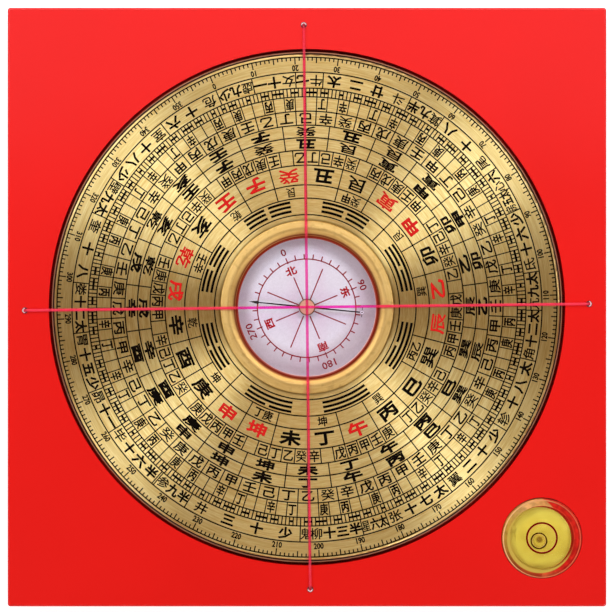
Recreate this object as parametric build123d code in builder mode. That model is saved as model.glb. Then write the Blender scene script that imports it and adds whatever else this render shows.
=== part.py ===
"""A Chinese compass: a brass dial that turns in a square board, with a needle capsule in its middle,
two sighting threads stretched over it and a round bubble level let into one corner.

The origin is the middle of the board's underside and +Z is up. +Y is the board's far edge and +X its
right edge. The level is in the near right corner. All lengths are in millimetres, all turns in degrees.
"""

import os
from math import asin, cos, degrees

from build123d import *

# Board
board_margin = 10.3
board_thickness = 18.0
board_corner_radius = 0.7
board_edge_round = 0.5
cut_overrun = 1.0

# Dial: a brass face on a dark disc, with a thin metal band round the disc
face_radius = 63.4
face_thickness = 0.8
face_sink = 0.6
face_edge_round = 0.35
disc_web_thickness = 0.8
rim_gap = 0.33
rim_wall = 0.22
rim_foot = 0.6
rim_drop = 0.15
recess_gap = 0.75
slide_clearance = 0.1
washer_thickness = 0.4
washer_width = 7.0

# Capsule: a cup in the dial's middle, with a bezel above and a stem below
window_radius = 17.25
glass_ring_width = 0.8
glass_ring_thickness = 0.5
glass_ring_rise = 0.15
glass_fit = 0.05
glass_thickness = 1.0
glass_step_width = 0.55
cup_wall = 0.95
cup_floor_thickness = 0.75
bezel_slope_width = 1.4
bezel_band_width = 2.3
bezel_rise = 0.75
bezel_fall = 0.3
bezel_crest_round = 2.5
bezel_edge_round = 0.3
card_thickness = 0.3
card_fit = 0.05
card_hole_gap = 0.2
needle_room = 2.7

# Stem and bearing, under the capsule
stem_radius = 4.0
stem_chamfer = 0.5
stem_end_inset = 1.2
stem_past_nut = 1.0
stem_running_fit = 0.05
bush_wall = 2.0
bush_flange_width = 2.5
bush_flange_thickness = 1.0
nut_wall = 2.0
nut_height = 2.6
nut_chamfer = 0.4
stem_washer_thickness = 0.6
stem_washer_width = 3.5
nut_pocket_gap = 2.0

# Needle on its pivot
needle_turn = 174.5
needle_tip_gap = 2.7
needle_tail_gap = 3.6
needle_thickness = 0.25
needle_width = 0.45
needle_end_width = 0.3
needle_eye_width = 0.65
arrow_length = 2.6
arrow_width = 0.9
tail_pad_radius = 0.35
fork_ring_radius = 0.5
fork_ring_bore = 0.2
fork_prong_length = 1.2
fork_prong_width = 0.2
fork_thickness = 0.2
cap_brim = 1.15
cap_neck_wall = 0.25
cap_head_height = 0.5
cap_crown_round = 0.3
cap_neck_below = 0.1
cap_seat_gap = 0.2
cap_seat_tip_radius = 0.1
cap_roof_thickness = 0.3
cap_glass_gap = 0.5
pivot_radius = 0.5
pivot_tip_radius = 0.05
pivot_cone_height = 0.8
pivot_set_depth = 0.5
pivot_seat_gap = 0.05

# Sighting threads and the eyelets that they go down
thread_count = 2
thread_turn = 0.66
thread_radius = 0.35
thread_clearance = 0.06
crossing_bend_radius = 20.0
eyelet_edge_distance = 4.4
eyelet_lip_height = 0.3
eyelet_lip_round = 0.3
eyelet_rim = 0.05
knot_radius = 1.1
knot_gap = 0.2
knot_pocket_gap = 1.3
knot_pocket_depth = 3.4

# Round level
level_radius = 10.0
level_side_margin = 6.2
level_near_margin = 7.2
level_fit = 0.15
level_height = 8.0
level_proud = 0.3
level_edge_chamfer = 0.3
vial_wall = 1.7
vial_top_thickness = 2.2
vial_dome_radius = 115.0
base_disc_thickness = 1.2
dot_radius = 0.6
dot_height = 0.3
target_radius = 4.0
target_width = 0.5
target_depth = 0.2
bubble_radius = 2.1
bubble_height = 0.7
bubble_edge_round = 0.3
bubble_dome_gap = 0.35
bubble_liquid_gap = 0.1
bubble_offset = 1.05
bubble_bearing = 234.7

# Heights, from the board's underside
face_top = board_thickness - face_sink
disc_top = face_top - face_thickness
ring_top = face_top + glass_ring_rise
glass_top = ring_top - glass_ring_thickness
glass_bottom = glass_top - glass_thickness
card_top = glass_bottom - needle_room
cup_floor = card_top - card_thickness
cup_bottom = cup_floor - cup_floor_thickness
disc_bottom = cup_bottom - disc_web_thickness
recess_floor = disc_bottom - slide_clearance - washer_thickness
pivot_foot = cup_floor - pivot_set_depth
cap_top = glass_bottom - cap_glass_gap
cap_seat_tip = cap_top - cap_roof_thickness
pivot_tip = cap_seat_tip - pivot_seat_gap
cap_head_bottom = cap_top - cap_head_height
needle_bottom = cap_head_bottom - needle_thickness
cap_bottom = needle_bottom - cap_neck_below
nut_bottom = stem_end_inset + stem_past_nut
nut_top = nut_bottom + nut_height
stem_washer_top = nut_top + stem_washer_thickness
nut_pocket_top = stem_washer_top + slide_clearance
eyelet_top = board_thickness + eyelet_lip_height
thread_height = eyelet_top + thread_clearance + thread_radius
knot_height = knot_pocket_depth - knot_gap - knot_radius
level_top = board_thickness + level_proud
level_bottom = level_top - level_height
vial_roof = level_top - vial_top_thickness
bubble_top = vial_roof - bubble_dome_gap
bubble_bottom = bubble_top - bubble_height
liquid_top = bubble_bottom - bubble_liquid_gap
base_disc_top = level_bottom + base_disc_thickness

# Radii that follow from what fits in what
disc_radius = face_radius + rim_gap
rim_radius = disc_radius + rim_wall
recess_radius = rim_radius + recess_gap
board_side = 2 * (recess_radius + board_margin)
glass_seat_radius = window_radius + glass_ring_width
glass_radius = glass_seat_radius - glass_fit
cup_bore = glass_seat_radius - glass_step_width
cup_radius = glass_seat_radius + cup_wall
bezel_crest_radius = glass_seat_radius + bezel_slope_width
bezel_radius = bezel_crest_radius + bezel_band_width
needle_tip_radius = cup_bore - needle_tip_gap
needle_tail_radius = cup_bore - needle_tail_gap
cap_seat_radius = pivot_radius + cap_seat_gap
cap_neck_radius = cap_seat_radius + cap_neck_wall
cap_radius = cap_neck_radius + cap_brim
needle_eye_radius = cap_neck_radius + needle_eye_width
bush_bore = stem_radius + stem_running_fit
bush_radius = bush_bore + bush_wall
bush_flange_radius = bush_radius + bush_flange_width
washer_bore = bush_bore
washer_radius = washer_bore + washer_width
stem_washer_radius = stem_radius + stem_washer_width
nut_pocket_radius = stem_washer_radius + nut_pocket_gap
eyelet_bore = thread_radius + thread_clearance
eyelet_radius = eyelet_bore + eyelet_lip_round + eyelet_rim
eyelet_ring_radius = board_side / 2 - eyelet_edge_distance
eyelet_count = 2 * thread_count
knot_pocket_radius = knot_radius + knot_pocket_gap
thread_bend = eyelet_lip_round + thread_clearance + thread_radius
thread_crossing_rise = 2 * thread_radius + thread_clearance
level_pocket_radius = level_radius + level_fit
level_x = board_side / 2 - level_side_margin - level_radius
level_y = level_near_margin + level_radius - board_side / 2
vial_bore = level_radius - vial_wall
vial_dome_angle = asin(vial_bore / vial_dome_radius)
vial_dome_drop = vial_dome_radius * (1 - cos(vial_dome_angle))

# Planes that several pieces share
needle_plane = Plane.XY.rotated((0, 0, needle_turn))
thread_planes = [Plane.XZ.rotated((0, 0, thread_turn + quarter)) for quarter in (0, 90)]
level_axis = Axis((level_x, level_y, 0), (0, 0, 1))
level_upright = Plane(origin=(level_x, level_y, 0), x_dir=(1, 0, 0), z_dir=(0, -1, 0))
level_flat = Plane(origin=(level_x, level_y, 0))
bubble_place = level_flat.rotated((0, 0, bubble_bearing))

os.makedirs("parts", exist_ok=True)


# Board: the square block with the dial's recess above, the nut's pocket below, the level's pocket in
# one corner and a stepped hole for each thread end
with BuildPart() as base_board:
    with BuildSketch():
        RectangleRounded(board_side, board_side, board_corner_radius)
    extrude(amount=board_thickness)
    fillet(base_board.faces().sort_by(Axis.Z)[-1].edges(), radius=board_edge_round)
    fillet(base_board.faces().sort_by(Axis.Z)[0].edges(), radius=board_edge_round)
    with BuildSketch(Plane.XY.offset(recess_floor)):
        Circle(recess_radius)
    extrude(amount=board_thickness - recess_floor + cut_overrun, mode=Mode.SUBTRACT)
    with BuildSketch(Plane.XY.offset(recess_floor - bush_flange_thickness)):
        Circle(bush_flange_radius)
    extrude(amount=bush_flange_thickness + cut_overrun, mode=Mode.SUBTRACT)
    with BuildSketch():
        Circle(bush_radius)
    extrude(amount=recess_floor, mode=Mode.SUBTRACT)
    with BuildSketch():
        Circle(nut_pocket_radius)
    extrude(amount=nut_pocket_top, mode=Mode.SUBTRACT)
    with BuildSketch(level_flat.offset(level_bottom)):
        Circle(level_pocket_radius)
    extrude(amount=level_height + cut_overrun, mode=Mode.SUBTRACT)
    with BuildSketch():
        with PolarLocations(eyelet_ring_radius, eyelet_count, start_angle=thread_turn):
            Circle(eyelet_radius)
    extrude(amount=board_thickness + cut_overrun, mode=Mode.SUBTRACT)
    with BuildSketch():
        with PolarLocations(eyelet_ring_radius, eyelet_count, start_angle=thread_turn):
            Circle(knot_pocket_radius)
    extrude(amount=knot_pocket_depth, mode=Mode.SUBTRACT)
base_board.part.label = "base_board"
export_step(base_board.part, "parts/base_board.step")

# Bush: a flanged brass sleeve pressed into the middle of the board, flush with the recess's floor
with BuildPart() as centre_bush:
    with BuildSketch(Plane.XY.offset(nut_pocket_top)):
        Circle(bush_radius)
    extrude(amount=recess_floor - nut_pocket_top)
    with BuildSketch(Plane.XY.offset(recess_floor - bush_flange_thickness)):
        Circle(bush_flange_radius)
    extrude(amount=bush_flange_thickness)
    with BuildSketch(Plane.XY.offset(nut_pocket_top)):
        Circle(bush_bore)
    extrude(amount=recess_floor - nut_pocket_top, mode=Mode.SUBTRACT)
centre_bush.part.label = "centre_bush"
export_step(centre_bush.part, "parts/centre_bush.step")

# Thrust washer: lies on the bush and the recess's floor, and the dial slides on it
with BuildPart() as thrust_washer:
    with BuildSketch(Plane.XY.offset(recess_floor)):
        Circle(washer_radius)
        Circle(washer_bore, mode=Mode.SUBTRACT)
    extrude(amount=washer_thickness)
thrust_washer.part.label = "thrust_washer"
export_step(thrust_washer.part, "parts/thrust_washer.step")

# Dial disc: the dark carrier, with a pocket that the capsule's cup is pressed into
with BuildPart() as dial_disc:
    with BuildSketch(Plane.XY.offset(disc_bottom)):
        Circle(disc_radius)
    extrude(amount=disc_top - disc_bottom)
    with BuildSketch(Plane.XY.offset(cup_bottom)):
        Circle(cup_radius)
    extrude(amount=disc_top - cup_bottom, mode=Mode.SUBTRACT)
    with BuildSketch(Plane.XY.offset(disc_bottom)):
        Circle(stem_radius)
    extrude(amount=cup_bottom - disc_bottom, mode=Mode.SUBTRACT)
dial_disc.part.label = "dial_disc"
export_step(dial_disc.part, "parts/dial_disc.step")

# Dial face: a brass sheet ring with a rounded outer edge
with BuildPart() as dial_face_plate:
    with BuildSketch(Plane.XY.offset(disc_top)):
        Circle(face_radius)
    extrude(amount=face_thickness)
    fillet(dial_face_plate.edges().sort_by(Axis.Z)[-1], radius=face_edge_round)
    with BuildSketch(Plane.XY.offset(disc_top)):
        Circle(cup_radius)
    extrude(amount=face_thickness, mode=Mode.SUBTRACT)
dial_face_plate.part.label = "dial_face_plate"
export_step(dial_face_plate.part, "parts/dial_face_plate.step")

# Dial rim: a thin pale band round the disc, a little lower than the face
with BuildPart() as dial_rim:
    with BuildSketch(Plane.XY.offset(disc_bottom + rim_foot)):
        Circle(rim_radius)
        Circle(disc_radius, mode=Mode.SUBTRACT)
    extrude(amount=face_top - rim_drop - disc_bottom - rim_foot)
dial_rim.part.label = "dial_rim"
export_step(dial_rim.part, "parts/dial_rim.step")

# Capsule housing: stem, cup and rounded bezel turned from one piece of brass
with BuildPart() as compass_housing:
    with BuildSketch(Plane.XZ) as housing_section:
        with BuildLine():
            Polyline(
                (0, pivot_foot),
                (0, stem_end_inset),
                (stem_radius - stem_chamfer, stem_end_inset),
                (stem_radius, stem_end_inset + stem_chamfer),
                (stem_radius, cup_bottom),
                (cup_radius, cup_bottom),
                (cup_radius, face_top),
                (bezel_radius, face_top),
                (bezel_radius, face_top + bezel_rise - bezel_fall),
                (bezel_crest_radius, face_top + bezel_rise),
                (glass_seat_radius, ring_top),
                (glass_seat_radius, glass_bottom),
                (cup_bore, glass_bottom),
                (cup_bore, cup_floor),
                (pivot_radius, cup_floor),
                (pivot_radius, pivot_foot),
                close=True,
            )
        make_face()
        fillet(housing_section.vertices().sort_by(Axis.Y)[-1], radius=bezel_crest_round)
        outer_points = housing_section.vertices().group_by(Axis.X)[-1]
        fillet(outer_points.sort_by(Axis.Y)[-1], radius=bezel_edge_round)
    revolve(axis=Axis.Z)
compass_housing.part.label = "compass_housing"
export_step(compass_housing.part, "parts/compass_housing.step")

# Card: the white disc on the cup's floor, with a hole for the pivot
with BuildPart() as compass_card:
    with BuildSketch(Plane.XY.offset(cup_floor)):
        Circle(cup_bore - card_fit)
        Circle(pivot_radius + card_hole_gap, mode=Mode.SUBTRACT)
    extrude(amount=card_thickness)
compass_card.part.label = "compass_card"
export_step(compass_card.part, "parts/compass_card.step")

# Pivot: a steel pin set in the cup's floor, ground to a point
with BuildPart() as pivot_pin:
    with BuildSketch(Plane.XZ):
        with BuildLine():
            Polyline(
                (0, pivot_foot),
                (pivot_radius, pivot_foot),
                (pivot_radius, pivot_tip - pivot_cone_height),
                (pivot_tip_radius, pivot_tip),
                (0, pivot_tip),
                close=True,
            )
        make_face()
    revolve(axis=Axis.Z)
pivot_pin.part.label = "pivot_pin"
export_step(pivot_pin.part, "parts/pivot_pin.step")

# Glass: a flat round pane on the step in the cup
with BuildPart() as compass_glass:
    with BuildSketch(Plane.XY.offset(glass_bottom)):
        Circle(glass_radius)
    extrude(amount=glass_thickness)
compass_glass.part.label = "compass_glass"
export_step(compass_glass.part, "parts/compass_glass.step")

# Glass ring: the red ring that holds the glass down
with BuildPart() as glass_ring:
    with BuildSketch(Plane.XY.offset(glass_top)):
        Circle(glass_seat_radius)
        Circle(window_radius, mode=Mode.SUBTRACT)
    extrude(amount=glass_ring_thickness)
glass_ring.part.label = "glass_ring"
export_step(glass_ring.part, "parts/glass_ring.step")

# Stem washer: between the nut and the board
with BuildPart() as stem_washer:
    with BuildSketch(Plane.XY.offset(nut_top)):
        Circle(stem_washer_radius)
        Circle(stem_radius, mode=Mode.SUBTRACT)
    extrude(amount=stem_washer_thickness)
stem_washer.part.label = "stem_washer"
export_step(stem_washer.part, "parts/stem_washer.step")

# Lock nut: a thin hexagon nut that holds the dial in the board
with BuildPart() as lock_nut:
    with BuildSketch(Plane.XY.offset(nut_bottom)):
        RegularPolygon(stem_radius + nut_wall, side_count=6, major_radius=False)
    extrude(amount=nut_height)
    chamfer(lock_nut.faces().sort_by(Axis.Z)[0].edges(), length=nut_chamfer)
    with BuildSketch(Plane.XY.offset(nut_bottom)):
        Circle(stem_radius)
    extrude(amount=nut_height, mode=Mode.SUBTRACT)
lock_nut.part.label = "lock_nut"
export_step(lock_nut.part, "parts/lock_nut.step")

# Needle: a thin steel strip with an arrow head, an eye for the cap and a small pad at its tail
with BuildPart() as needle:
    with BuildSketch(needle_plane.offset(needle_bottom)):
        with BuildLine():
            Polyline(
                (-needle_tail_radius, needle_end_width / 2),
                (-needle_tail_radius, -needle_end_width / 2),
                (0, -needle_width / 2),
                (needle_tip_radius - arrow_length, -needle_end_width / 2),
                (needle_tip_radius - arrow_length, -arrow_width / 2),
                (needle_tip_radius, 0),
                (needle_tip_radius - arrow_length, arrow_width / 2),
                (needle_tip_radius - arrow_length, needle_end_width / 2),
                (0, needle_width / 2),
                close=True,
            )
        make_face()
        Circle(needle_eye_radius)
        with Locations((-needle_tail_radius, 0)):
            Circle(tail_pad_radius)
        Circle(cap_neck_radius, mode=Mode.SUBTRACT)
    extrude(amount=needle_thickness)
needle.part.label = "needle"
export_step(needle.part, "parts/needle.step")

# Tail fork: a small bright ring with a prong to each side, on the needle's tail pad
with BuildPart() as needle_tail_fork:
    with BuildSketch(needle_plane.offset(cap_head_bottom)):
        with Locations((-needle_tail_radius, 0)):
            Circle(fork_ring_radius)
            Rectangle(fork_prong_width, 2 * fork_prong_length)
            Circle(fork_ring_bore, mode=Mode.SUBTRACT)
    extrude(amount=fork_thickness)
needle_tail_fork.part.label = "needle_tail_fork"
export_step(needle_tail_fork.part, "parts/needle_tail_fork.step")

# Cap: a brass button riveted through the needle's eye, with a conical seat for the pivot's point
with BuildPart() as needle_cap:
    with BuildSketch(Plane.XY.offset(cap_bottom)):
        Circle(cap_neck_radius)
    extrude(amount=cap_head_bottom - cap_bottom)
    with BuildSketch(Plane.XY.offset(cap_head_bottom)):
        Circle(cap_radius)
    extrude(amount=cap_head_height)
    fillet(needle_cap.faces().sort_by(Axis.Z)[-1].edges(), radius=cap_crown_round)
    with BuildSketch(Plane.XZ):
        with BuildLine():
            Polyline(
                (0, cap_bottom),
                (cap_seat_radius, cap_bottom),
                (cap_seat_tip_radius, cap_seat_tip),
                (0, cap_seat_tip),
                close=True,
            )
        make_face()
    revolve(axis=Axis.Z, mode=Mode.SUBTRACT)
needle_cap.part.label = "needle_cap"
export_step(needle_cap.part, "parts/needle_cap.step")

# Eyelets: four small tubes, each with a rounded lip that its thread bends over
with BuildPart() as thread_eyelets:
    with BuildSketch(Plane.XY.offset(knot_pocket_depth)):
        with PolarLocations(eyelet_ring_radius, eyelet_count, start_angle=thread_turn):
            Circle(eyelet_radius)
            Circle(eyelet_bore, mode=Mode.SUBTRACT)
    extrude(amount=eyelet_top - knot_pocket_depth)
    lip_edges = thread_eyelets.edges().group_by(Axis.Z)[-1]
    fillet(lip_edges.filter_by(lambda edge: edge.radius < eyelet_radius), radius=eyelet_lip_round)
thread_eyelets.part.label = "thread_eyelets"
export_step(thread_eyelets.part, "parts/thread_eyelets.step")

# Lower thread, left to right: up out of one eyelet, straight across and down the other, with a knot
# at each end in its pocket under the board
with BuildPart() as thread_east_west:
    with BuildLine(thread_planes[0]) as lower_route:
        FilletPolyline(
            (-eyelet_ring_radius, knot_height),
            (-eyelet_ring_radius, thread_height),
            (eyelet_ring_radius, thread_height),
            (eyelet_ring_radius, knot_height),
            radius=thread_bend,
        )
    with BuildSketch(Plane(lower_route.line @ 0, z_dir=lower_route.line % 0)):
        Circle(thread_radius)
    sweep()
    with Locations(lower_route.line @ 0, lower_route.line @ 1):
        Sphere(knot_radius)
thread_east_west.part.label = "thread_east_west"
export_step(thread_east_west.part, "parts/thread_east_west.step")

# Upper thread, near to far: the same, but lifted a little where it crosses over the lower thread
with BuildPart() as thread_north_south:
    with BuildLine(thread_planes[1]) as upper_route:
        FilletPolyline(
            (-eyelet_ring_radius, knot_height),
            (-eyelet_ring_radius, thread_height),
            (0, thread_height + thread_crossing_rise),
            (eyelet_ring_radius, thread_height),
            (eyelet_ring_radius, knot_height),
            radius=(thread_bend, crossing_bend_radius, thread_bend),
        )
    with BuildSketch(Plane(upper_route.line @ 0, z_dir=upper_route.line % 0)):
        Circle(thread_radius)
    sweep()
    with Locations(upper_route.line @ 0, upper_route.line @ 1):
        Sphere(knot_radius)
thread_north_south.part.label = "thread_north_south"
export_step(thread_north_south.part, "parts/thread_north_south.step")

# Level vial: a clear block, hollow from below, with a slightly domed roof over the bubble and a
# groove on top for the target ring
with BuildPart() as level_vial:
    with BuildSketch(level_flat.offset(level_bottom)):
        Circle(level_radius)
    extrude(amount=level_height)
    chamfer(level_vial.faces().sort_by(Axis.Z)[-1].edges(), length=level_edge_chamfer)
    with BuildSketch(level_upright):
        with BuildLine():
            Polyline(
                (0, vial_roof),
                (0, level_bottom),
                (vial_bore, level_bottom),
                (vial_bore, vial_roof - vial_dome_drop),
            )
            CenterArc(
                (0, vial_roof - vial_dome_radius),
                radius=vial_dome_radius,
                start_angle=90,
                arc_size=-degrees(vial_dome_angle),
            )
        make_face()
    revolve(axis=level_axis, mode=Mode.SUBTRACT)
    with BuildSketch(level_flat.offset(level_top)):
        Circle(target_radius)
        Circle(target_radius - target_width, mode=Mode.SUBTRACT)
    extrude(amount=-target_depth, mode=Mode.SUBTRACT)
level_vial.part.label = "level_vial"
export_step(level_vial.part, "parts/level_vial.step")

# Target ring: dark red filling in the vial's groove
with BuildPart() as level_target_ring:
    with BuildSketch(level_flat.offset(level_top)):
        Circle(target_radius)
        Circle(target_radius - target_width, mode=Mode.SUBTRACT)
    extrude(amount=-target_depth)
level_target_ring.part.label = "level_target_ring"
export_step(level_target_ring.part, "parts/level_target_ring.step")

# Base disc: closes the vial from below, with a small moulded dot in its middle
with BuildPart() as level_base_disc:
    with BuildSketch(level_flat.offset(level_bottom)):
        Circle(vial_bore)
    extrude(amount=base_disc_thickness)
    with BuildSketch(level_flat.offset(base_disc_top)):
        Circle(dot_radius)
    extrude(amount=dot_height)
level_base_disc.part.label = "level_base_disc"
export_step(level_base_disc.part, "parts/level_base_disc.step")

# Liquid: fills the vial up to the bubble's run
with BuildPart() as level_liquid:
    with BuildSketch(level_flat.offset(base_disc_top)):
        Circle(vial_bore)
    extrude(amount=liquid_top - base_disc_top)
    with BuildSketch(level_flat.offset(base_disc_top)):
        Circle(dot_radius)
    extrude(amount=dot_height, mode=Mode.SUBTRACT)
level_liquid.part.label = "level_liquid"
export_step(level_liquid.part, "parts/level_liquid.step")

# Bubble: a flat round bubble under the roof, a little off the middle
with BuildPart() as level_bubble:
    with BuildSketch(bubble_place.offset(bubble_bottom)):
        with Locations((bubble_offset, 0)):
            Circle(bubble_radius)
    extrude(amount=bubble_height)
    fillet(level_bubble.edges().filter_by(GeomType.CIRCLE), radius=bubble_edge_round)
level_bubble.part.label = "level_bubble"
export_step(level_bubble.part, "parts/level_bubble.step")

for name, route in (("lower", lower_route), ("upper", upper_route)):
    thread_length = sum(edge.length for edge in route.edges())
    print(name, "thread length", round(thread_length, 1), "bend radius", round(thread_bend, 2))
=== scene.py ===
# %% [markdown]
# A Chinese compass, seen from straight above
#
# The real object is a square red board with a round brass dial let into it. The dial is printed with
# rings of bearings, and a small needle capsule sits in its middle. Two fishing-line threads cross over
# it, and a round level sits in one corner.
#
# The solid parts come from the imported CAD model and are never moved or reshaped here. This lesson
# gives them their finishes, and adds the print, which is too thin for the CAD model. The level's spirit
# and bubble are also made again, because what the eye sees of them isn't their plain solid.

from math import cos, hypot, pi, radians, sin
from types import SimpleNamespace

import bmesh
import bpy
from mathutils import Matrix, Vector


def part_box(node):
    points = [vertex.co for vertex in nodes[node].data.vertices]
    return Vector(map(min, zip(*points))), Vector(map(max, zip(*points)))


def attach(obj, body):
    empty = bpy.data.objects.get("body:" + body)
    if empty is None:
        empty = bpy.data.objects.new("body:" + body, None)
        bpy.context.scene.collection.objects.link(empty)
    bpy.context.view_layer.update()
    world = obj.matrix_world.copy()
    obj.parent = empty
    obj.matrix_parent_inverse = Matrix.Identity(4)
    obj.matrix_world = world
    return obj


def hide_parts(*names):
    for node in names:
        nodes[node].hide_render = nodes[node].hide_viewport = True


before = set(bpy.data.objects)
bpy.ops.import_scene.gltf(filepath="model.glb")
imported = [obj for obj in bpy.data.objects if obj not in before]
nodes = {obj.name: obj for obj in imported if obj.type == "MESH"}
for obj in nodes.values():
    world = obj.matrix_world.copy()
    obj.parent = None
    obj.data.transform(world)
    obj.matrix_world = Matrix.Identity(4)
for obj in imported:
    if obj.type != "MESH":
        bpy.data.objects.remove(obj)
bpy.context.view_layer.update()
scene = bpy.context.scene
MM = 0.001


def extent(low, high):
    """The middle, radius, bottom and top of a box in millimetres."""
    return SimpleNamespace(
        x=(low.x + high.x) / 2 / MM, y=(low.y + high.y) / 2 / MM, radius=(high.x - low.x) / 2 / MM,
        bottom=low.z / MM, top=high.z / MM,
    )


# %% [markdown]
# The camera comes first, because everything after it is judged through it. The photograph looks
# straight down, so the camera does too. A long lens far away keeps the board's sides hidden, as they
# are in the photograph. The board takes 598 of the picture's 612 pixels.

# %% The camera
BOARD_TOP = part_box("base_board")[1].z
VIEW_WIDTH = 0.15325
VIEW_DISTANCE = 0.75
VIEW_ASIDE = (-0.25 * MM, 0.28 * MM)
SENSOR = 36.0

camera = bpy.data.objects.new("photo_camera", bpy.data.cameras.new("photo_camera"))
scene.collection.objects.link(camera)
camera.data.sensor_width = SENSOR
camera.data.lens = SENSOR * VIEW_DISTANCE / VIEW_WIDTH
camera.data.clip_start = 0.01
camera.location = (*VIEW_ASIDE, BOARD_TOP + VIEW_DISTANCE)
scene.camera = camera

print("lens in mm:", round(camera.data.lens, 1))

# %% [markdown]
# Every material is a small tree of nodes. A few helpers keep that readable. The first turns a colour as
# it is picked from a picture, an sRGB hex value, into the linear numbers that a shader needs. The second
# adds a node, sets it and links it in one line. The others measure in millimetres, and turn a distance
# into colours.

# %% Helpers for colours and nodes


def colour(value):
    """Linear red, green, blue and alpha from an sRGB hex value, or from a number as a grey level."""
    if isinstance(value, str):
        channels = [int(value[i : i + 2], 16) / 255 for i in (1, 3, 5)]
        return (*(c / 12.92 if c <= 0.04045 else ((c + 0.055) / 1.055) ** 2.4 for c in channels), 1.0)
    return value if isinstance(value, tuple) else (value, value, value, 1.0)


def add(tree, kind, inputs=None, stops=(), **settings):
    """A new node, whose kind is its type without the leading ShaderNode.

    inputs gives each socket a value, a hex colour, an output, or a node, which then feeds the socket
    from the first output that its settings leave in use. stops gives a colour ramp its (position,
    colour) pairs.
    """
    made = tree.nodes.new("ShaderNode" + kind)
    for name, value in settings.items():
        setattr(made, name, value)
    if stops:
        elements = made.color_ramp.elements
        while len(elements) < len(stops):
            elements.new(0.5)
        for element, (position, value) in zip(elements, stops):
            element.position = position
            element.color = colour(value)
    for socket, value in (inputs or {}).items():
        if isinstance(value, bpy.types.Node):
            value = next(output for output in value.outputs if output.enabled)
        if isinstance(value, bpy.types.NodeSocket):
            tree.links.new(value, made.inputs[socket])
        else:
            made.inputs[socket].default_value = colour(value) if isinstance(value, str) else value
    return made


# What a Mix node does with two colours: lay one over the other by a share, or multiply them.
BLEND = {"data_type": "RGBA"}
MULTIPLY = {"data_type": "RGBA", "blend_type": "MULTIPLY"}


def new_material(name):
    """An empty material, its tree, and its Object coordinates in millimetres."""
    made = bpy.data.materials.new(name)
    made.use_nodes = True
    tree = made.node_tree
    tree.nodes.clear()
    place = add(tree, "TexCoord").outputs["Object"]
    scaled = add(tree, "Mapping", {"Vector": place, "Scale": (1 / MM,) * 3})
    return made, tree, scaled


def axis_distance(tree, mm_place, centre=(0, 0)):
    """The distance in millimetres from an upright axis, and the flat vector from it."""
    moved = add(tree, "VectorMath", {0: mm_place, 1: (*centre, 0)}, operation="SUBTRACT")
    flat = add(tree, "VectorMath", {0: moved, 1: (1, 1, 0)}, operation="MULTIPLY")
    length = add(tree, "VectorMath", {0: flat}, operation="LENGTH")
    return length, flat


def zones(tree, distance, *rows):
    """Colours by distance: a ramp whose stops are (millimetres, colour) rows."""
    start, end = rows[0][0], rows[-1][0]
    reach = add(tree, "MapRange", {"Value": distance, "From Min": start, "From Max": end})
    stops = [((mm - start) / (end - start), value) for mm, value in rows]
    return add(tree, "ValToRGB", {"Fac": reach}, stops=stops)


def round_mark(tree, mm_place, centre, under, mark, *rows):
    """Lays one colour over another round an upright axis, by (millimetres, share) rows."""
    distance, _ = axis_distance(tree, mm_place, centre)
    return add(tree, "Mix", {"Factor": zones(tree, distance, *rows), "A": under, "B": mark}, **BLEND)


print("white and mid grey in linear:", colour("#FFFFFF")[0], round(colour("#808080")[0], 3))

# %% [markdown]
# The board is wood or fibreboard under a thick, glossy red lacquer. Polyester lacquer is sprayed on and
# polished, which leaves a very faint orange-peel ripple a few millimetres long. The colour is nearly
# even. So the shader has one red with a slight drift, painted shade that makes it a little darker on
# the near side, a clear coat, and a bump that only shows where something is mirrored in it.

# %% Red lacquer
BOARD_HALF = 75.0
board_finish, tree, mm_place = new_material("polished_polyester_lacquer")
drift = add(tree, "TexNoise", {"Vector": mm_place, "Scale": 1 / 40.0, "Detail": 2.0})
peel = add(tree, "TexNoise", {"Vector": mm_place, "Scale": 1 / 2.5, "Detail": 1.0})
lacquer_red = add(tree, "ValToRGB", {"Fac": drift}, stops=((0.3, "#E30D07"), (0.7, "#E90F0A")))
# Painted shade: the red is a little darker towards the near side of the board.
along_board = add(tree, "SeparateXYZ", {"Vector": mm_place}).outputs["Y"]
painted_shade_near_side = zones(tree, along_board, (-BOARD_HALF, 0.9), (BOARD_HALF, 1.0))
lacquer_red = add(tree, "Mix", {"Factor": 1.0, "A": lacquer_red, "B": painted_shade_near_side}, **MULTIPLY)
ripple = add(tree, "Bump", {"Height": peel, "Strength": 0.06, "Distance": 0.2 * MM})
lacquer = add(tree, "BsdfPrincipled", {
    "Base Color": lacquer_red, "Roughness": 0.3, "Specular IOR Level": 0.25, "IOR": 1.5,
    "Coat Weight": 0.5, "Coat Roughness": 0.14, "Normal": ripple,
})
add(tree, "OutputMaterial", {"Surface": lacquer})

print("material:", board_finish.name)

# %% [markdown]
# The dial is sheet brass, brushed in circles and lacquered. Each brush line is a tiny circular groove,
# so light is spread across the grooves and not along them. That is why the dial shows bright rays
# towards the lamps and dark sectors between them. The Principled shader does this with anisotropy and
# a tangent that runs round the axis. On top of it, noise that changes quickly with the radius and
# slowly with the angle draws the single brush lines.

# %% Turned and brushed metals


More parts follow.
